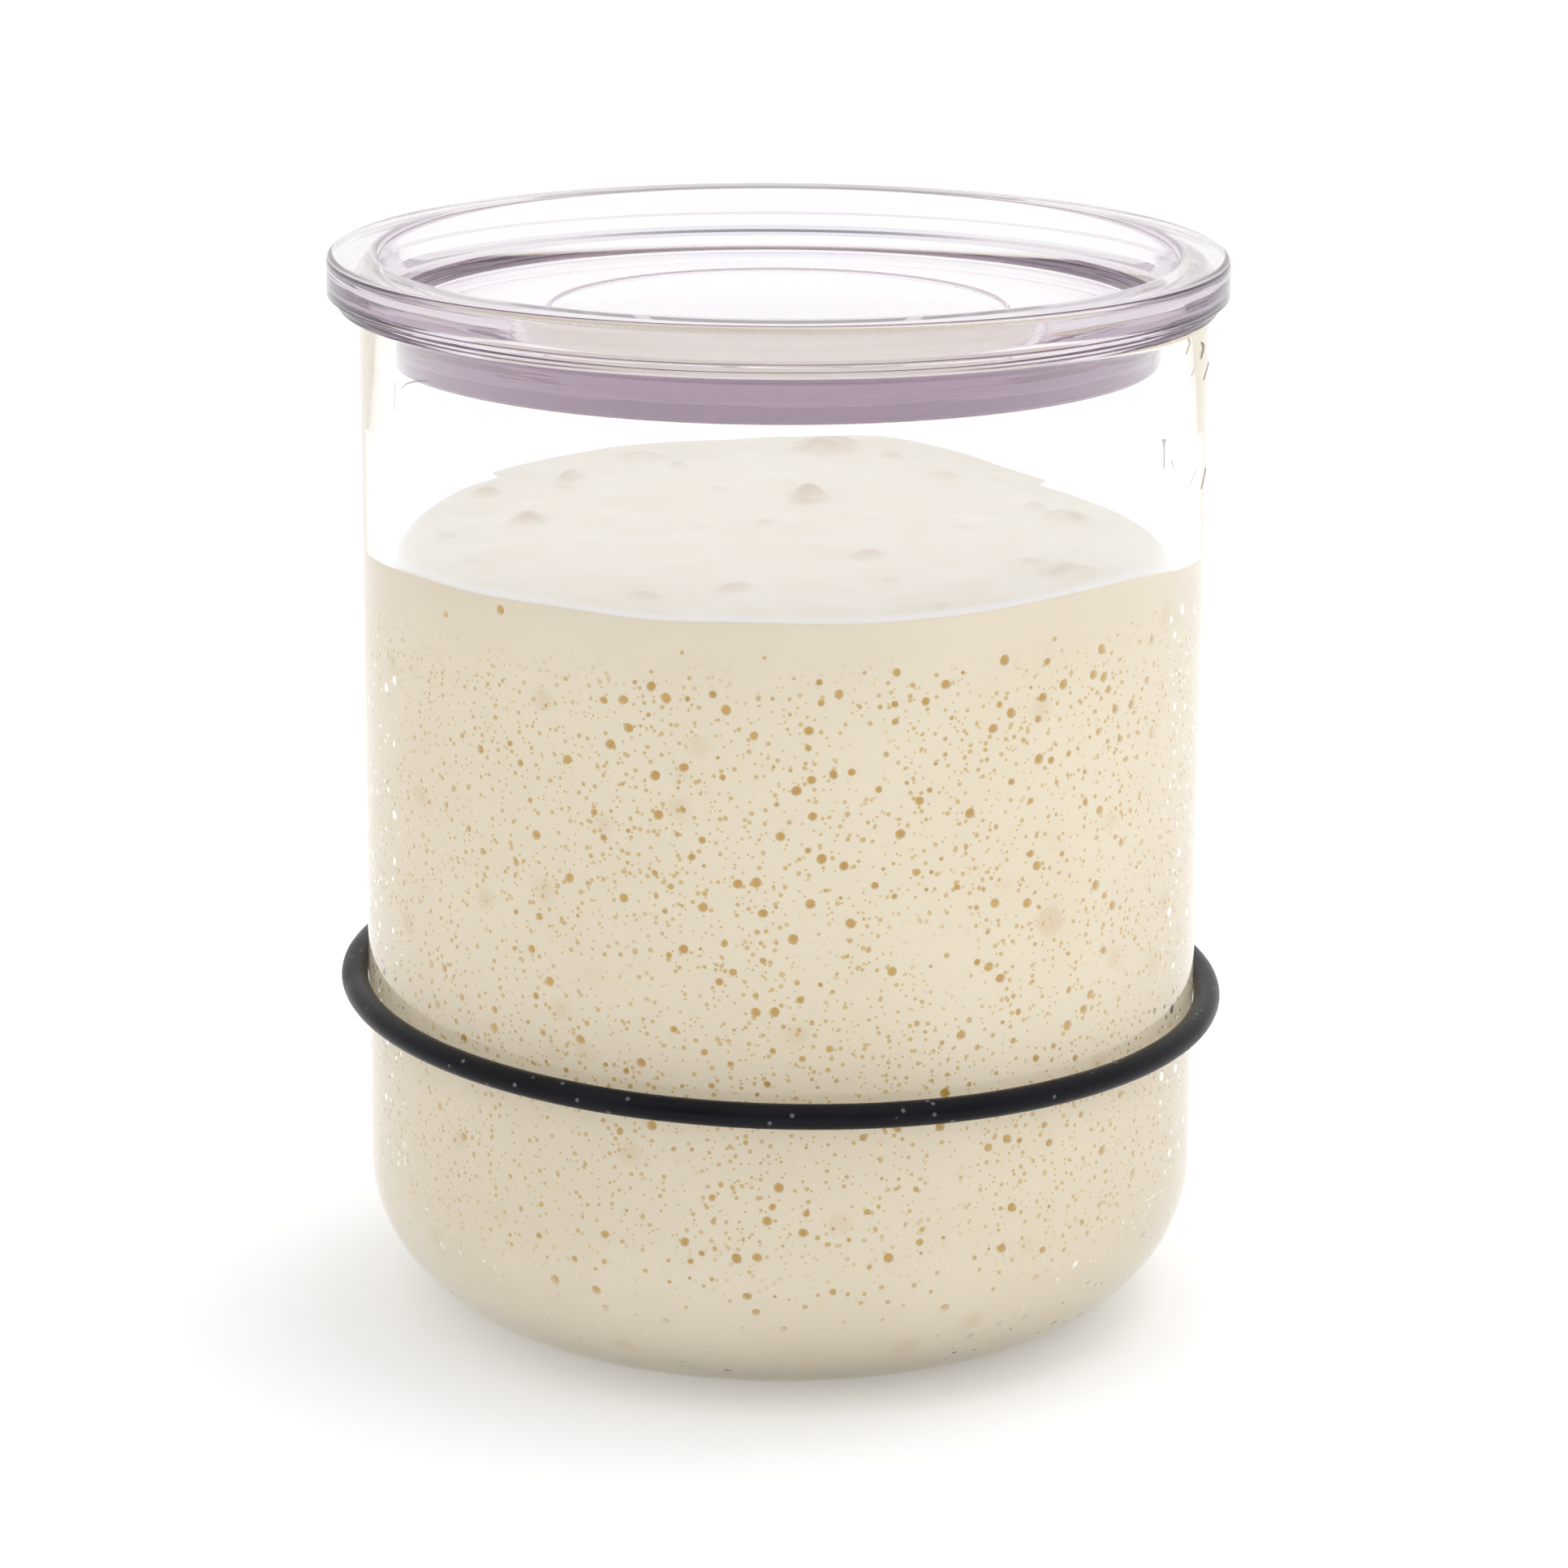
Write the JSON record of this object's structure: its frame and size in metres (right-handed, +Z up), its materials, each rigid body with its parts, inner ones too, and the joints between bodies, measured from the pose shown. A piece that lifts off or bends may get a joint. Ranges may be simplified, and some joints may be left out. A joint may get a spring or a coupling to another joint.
{
  "type": "sourdough starter jar",
  "caption": "Straight-sided clear glass jar with a rounded foot, a loose clear plug-in lid, a black elastic marker band and a filling of bubbly starter.",
  "frame": {"origin": "middle of the jar's flat foot, on the surface that it stands on", "axes": "+Z up along the jar's axis, -Y towards the side that the picture shows, +X to its right"},
  "size_m": [0.1068, 0.1062, 0.128],
  "materials": {
    "clear_glass": "clear fire-polished",
    "starter": "soft, slightly glossy",
    "lid_plastic": "clear, faintly violet in its thick edges",
    "silicone": "satin black"
  },
  "bodies": {
    "jar": {"jar": "clear_glass", "starter": "starter"},
    "lid": {"lid": "lid_plastic"},
    "marker_band": {"marker_band": "silicone"}
  },
  "joints": [
    {"name": "lid_lift", "type": "slide", "parent": "jar", "child": "lid", "axis": [0, 0, 1], "range_m": [0, 0.1]},
    {"name": "band_slide", "type": "slide", "parent": "jar", "child": "marker_band", "axis": [0, 0, 1], "range_m": [-0.017, 0.079]}
  ]
}
